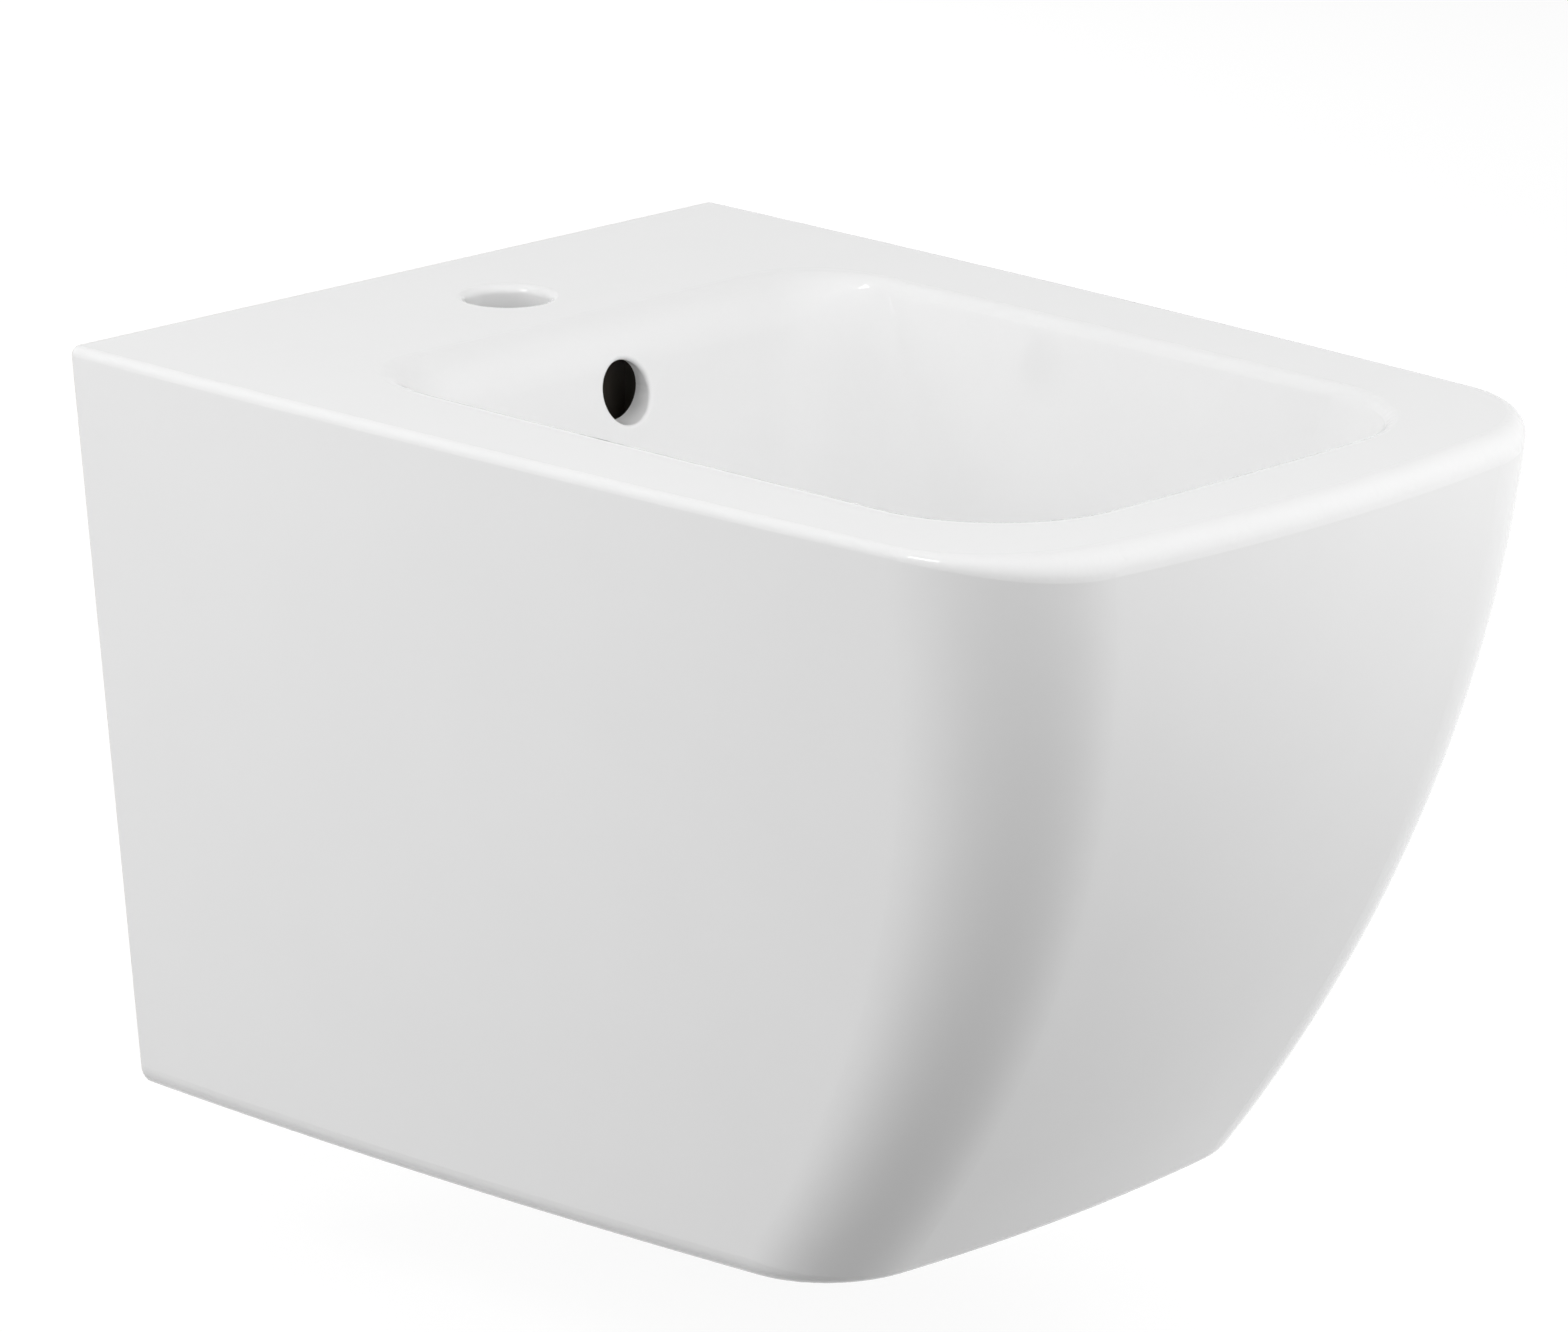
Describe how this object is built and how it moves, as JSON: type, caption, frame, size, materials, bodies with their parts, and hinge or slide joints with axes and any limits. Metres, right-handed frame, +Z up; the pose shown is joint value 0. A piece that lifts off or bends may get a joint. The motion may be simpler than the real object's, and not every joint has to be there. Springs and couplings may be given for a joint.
{
  "type": "wall-hung bidet",
  "caption": "Wall-hung bidet: a tapering glazed china body with a deep bowl, a tap hole and an overflow, hung on concealed wall fixings, with a push-to-open waste and a bottle trap inside.",
  "frame": {"origin": "middle of the two wall fixing holes, on the wall plane", "axes": "+Y into the wall, -Y towards the front, +Z up, +X to the right of someone facing the wall"},
  "size_m": [0.3592, 0.4916, 0.316],
  "materials": {
    "glazed_china": "white gloss glaze",
    "cast_zinc": "die cast, dull",
    "nylon": "moulded",
    "zinc_plated_steel": "zinc plated",
    "chromed_brass": "polished chrome plate",
    "raw_brass": "machined",
    "black_rubber": "moulded, dull",
    "acetal": "moulded",
    "spring_steel": "drawn wire",
    "white_polypropylene": "moulded, satin"
  },
  "bodies": {
    "bidet": {"ceramic_body": "glazed_china", "fixing_blocks": "cast_zinc", "fixing_liners": "nylon", "fixing_screws": "zinc_plated_steel", "waste_body": "chromed_brass", "waste_flange_seal": "black_rubber", "waste_under_seal": "black_rubber", "waste_thrust_ring": "nylon", "waste_back_nut": "raw_brass", "latch_housing": "acetal", "latch_end_cap": "acetal", "latch_spring": "spring_steel", "trap_inlet_nut": "white_polypropylene", "trap_inlet_seal": "black_rubber", "trap_dip_tube": "white_polypropylene", "trap_head": "white_polypropylene", "trap_cup": "white_polypropylene", "trap_cup_seal": "black_rubber", "trap_outlet_nut": "white_polypropylene", "trap_outlet_seal": "black_rubber", "trap_outlet_pipe": "white_polypropylene"},
    "plug": {"plug_cap": "chromed_brass", "plug_seal": "black_rubber", "plug_stem": "raw_brass"},
    "rotor": {"latch_rotor": "acetal"}
  },
  "joints": [
    {"name": "plug_slide", "type": "slide", "parent": "bidet", "child": "plug", "axis": [0, 0, 1], "range_m": [0, 0.008], "deforming": ["latch_spring"]},
    {"name": "rotor_turn", "type": "hinge", "parent": "plug", "child": "rotor", "pos_m": [0, -0.236, -0.09], "axis": [0, 0, 1], "range_deg": [0, 45]}
  ],
  "couplings": [
    {"joint": "rotor_turn", "follows": "plug_slide", "rad_per_m": 98}
  ]
}
